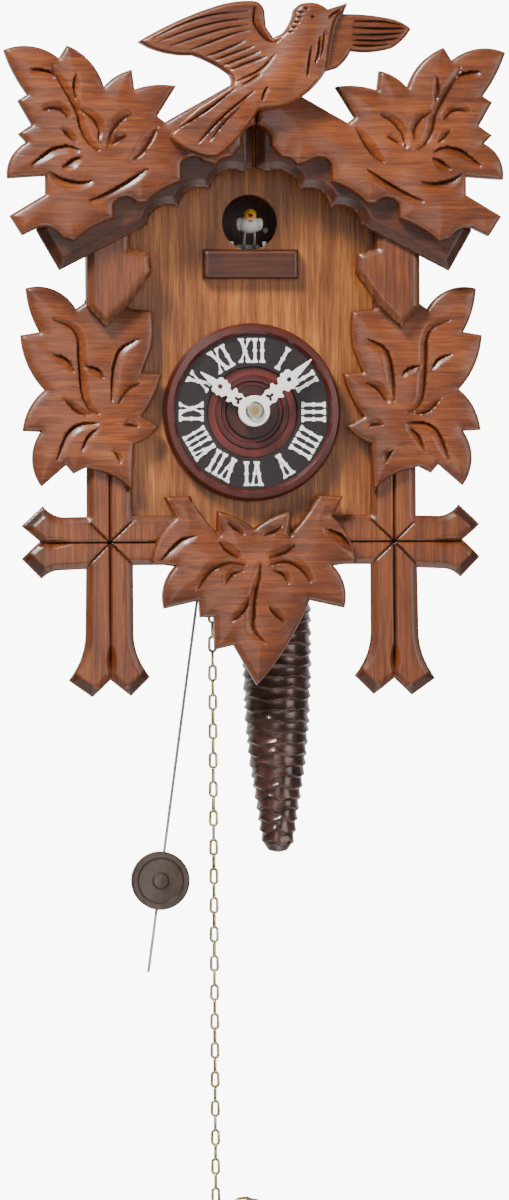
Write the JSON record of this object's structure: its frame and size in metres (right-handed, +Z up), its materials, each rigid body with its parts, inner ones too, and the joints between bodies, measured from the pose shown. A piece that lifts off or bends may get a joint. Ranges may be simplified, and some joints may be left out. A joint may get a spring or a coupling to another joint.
{
  "type": "cuckoo clock",
  "caption": "Small carved wall clock with a leaf-framed gabled case, numeral dial, bird opening, swinging pendulum and a chain-hung pine-cone weight.",
  "frame": {"origin": "centre of the hanger plate's hole on the wall plane", "axes": "+Z up, +Y into the wall, the front faces -Y, +X to the viewer's right"},
  "size_m": [0.1698, 0.086, 0.5129],
  "materials": {
    "board_wood": "satin stained plywood",
    "roof_wood": "satin dark stain",
    "carved_wood": "satin stained lime wood",
    "rail_wood": "satin dark stain",
    "dial_face": "satin lacquer",
    "numeral_white": "gloss",
    "hand_white": "gloss",
    "brass": "satin",
    "steel": "satin",
    "rod_wire": "satin",
    "bob_wood": "satin",
    "cone_iron": "semi-gloss dark lacquer",
    "chain_brass": "bright",
    "bird_paint": "painted"
  },
  "bodies": {
    "root": {"back_panel": "board_wood", "bird_bracket": "steel", "bottom_board": "board_wood", "bottom_leaf": "carved_wood", "branch_leaf_left": "carved_wood", "branch_leaf_right": "carved_wood", "chain_over_wheel": "chain_brass", "crest_bird": "carved_wood", "cross_frame_left": "carved_wood", "cross_frame_right": "carved_wood", "dial": "dial_face", "dial_numerals": "numeral_white", "fascia_left": "carved_wood", "fascia_right": "carved_wood", "front_board": "board_wood", "hanger_plate": "steel", "hanger_screws": "steel", "idler_stud": "steel", "minute_stud": "steel", "movement_back_plate": "brass", "movement_front_plate": "brass", "movement_pillars": "steel", "movement_screws": "steel", "movement_spacers": "steel", "perch_rail": "rail_wood", "pillar_nuts": "brass", "roof_board_left": "roof_wood", "roof_board_right": "roof_wood", "side_board_left": "board_wood", "side_board_right": "board_wood", "side_leaf_left": "carved_wood", "side_leaf_right": "carved_wood", "suspension_bracket": "brass", "upper_post_left": "carved_wood", "upper_post_right": "carved_wood"},
    "minute": {"minute_hand": "hand_white", "hand_hub": "hand_white", "hand_nut": "brass", "cannon_pinion": "brass"},
    "minute_wheel": {"minute_wheel": "brass"},
    "hour": {"hour_hand": "hand_white", "hour_wheel": "brass"},
    "great": {"great_wheel": "brass"},
    "idler": {"idler_wheel": "brass"},
    "centre": {"centre_wheel": "brass"},
    "third": {"third_wheel": "brass"},
    "escape": {"escape_wheel": "brass"},
    "weight": {"pine_cone_weight": "cone_iron", "weight_hook": "chain_brass", "chain_weight_side": "chain_brass"},
    "free_chain": {"chain_free": "chain_brass", "chain_hank": "chain_brass", "hank_tie": "chain_brass", "chain_tail": "chain_brass", "chain_ring": "chain_brass"},
    "pendulum": {"pendulum_rod": "rod_wire", "pendulum_bob": "bob_wood"},
    "anchor": {"anchor": "steel", "crutch": "steel"},
    "bird": {"little_bird": "bird_paint"}
  },
  "joints": [
    {"name": "minute_turn", "type": "hinge", "parent": "root", "child": "minute", "pos_m": [0, -0.062, -0.071], "axis": [0, 1, 0], "continuous": true},
    {"name": "minute_wheel_turn", "type": "hinge", "parent": "root", "child": "minute_wheel", "pos_m": [0.012, -0.043, -0.071], "axis": [0, 1, 0], "continuous": true},
    {"name": "hour_turn", "type": "hinge", "parent": "root", "child": "hour", "pos_m": [0, -0.045, -0.071], "axis": [0, 1, 0], "continuous": true},
    {"name": "weight_drop", "type": "slide", "parent": "root", "child": "weight", "axis": [0, 0, -1], "range_m": [0, 0.06]},
    {"name": "great_turn", "type": "hinge", "parent": "root", "child": "great", "pos_m": [0, -0.029, -0.1], "axis": [0, 1, 0], "range_deg": [-1, 309.6]},
    {"name": "idler_turn", "type": "hinge", "parent": "root", "child": "idler", "pos_m": [-0.00965, -0.025, -0.08248], "axis": [0, 1, 0], "range_deg": [-927.64, 1.85]},
    {"name": "centre_turn", "type": "hinge", "parent": "root", "child": "centre", "pos_m": [0, -0.029, -0.071], "axis": [0, 1, 0], "range_deg": [-1, 463.89]},
    {"name": "third_turn", "type": "hinge", "parent": "root", "child": "third", "pos_m": [0.0043, -0.029, -0.05575], "axis": [0, 1, 0], "range_deg": [-4638.18, 9.26]},
    {"name": "escape_turn", "type": "hinge", "parent": "root", "child": "escape", "pos_m": [0, -0.029, -0.042], "axis": [0, 1, 0], "range_deg": [-83.32, 41743.63]},
    {"name": "chain_rise", "type": "slide", "parent": "root", "child": "free_chain", "axis": [0, 0, 1], "range_m": [-0.0002, 0.0602]},
    {"name": "pendulum_swing", "type": "hinge", "parent": "root", "child": "pendulum", "pos_m": [0, -0.012, -0.0288], "axis": [0, 1, 0], "range_deg": [-16.2, 0.5]},
    {"name": "anchor_rock", "type": "hinge", "parent": "root", "child": "anchor", "pos_m": [0, -0.03, -0.0288], "axis": [0, 1, 0], "range_deg": [-16.4, 0.6]},
    {"name": "bird_rock", "type": "hinge", "parent": "root", "child": "bird", "pos_m": [0, -0.0445, -0.0146], "axis": [1, 0, 0], "range_deg": [-9.9, 0.4]}
  ],
  "couplings": [
    {"joint": "minute_wheel_turn", "follows": "minute_turn", "ratio": -0.33333},
    {"joint": "hour_turn", "follows": "minute_turn", "ratio": 0.083333},
    {"joint": "great_turn", "follows": "weight_drop", "rad_per_m": 89.767},
    {"joint": "idler_turn", "follows": "weight_drop", "rad_per_m": -269.3},
    {"joint": "centre_turn", "follows": "weight_drop", "rad_per_m": 134.65},
    {"joint": "third_turn", "follows": "weight_drop", "rad_per_m": -1346.5},
    {"joint": "escape_turn", "follows": "weight_drop", "rad_per_m": 12118},
    {"joint": "chain_rise", "follows": "weight_drop", "ratio": 1},
    {"joint": "anchor_rock", "follows": "pendulum_swing", "ratio": 1},
    {"joint": "bird_rock", "follows": "pendulum_swing", "ratio": 0.6}
  ]
}
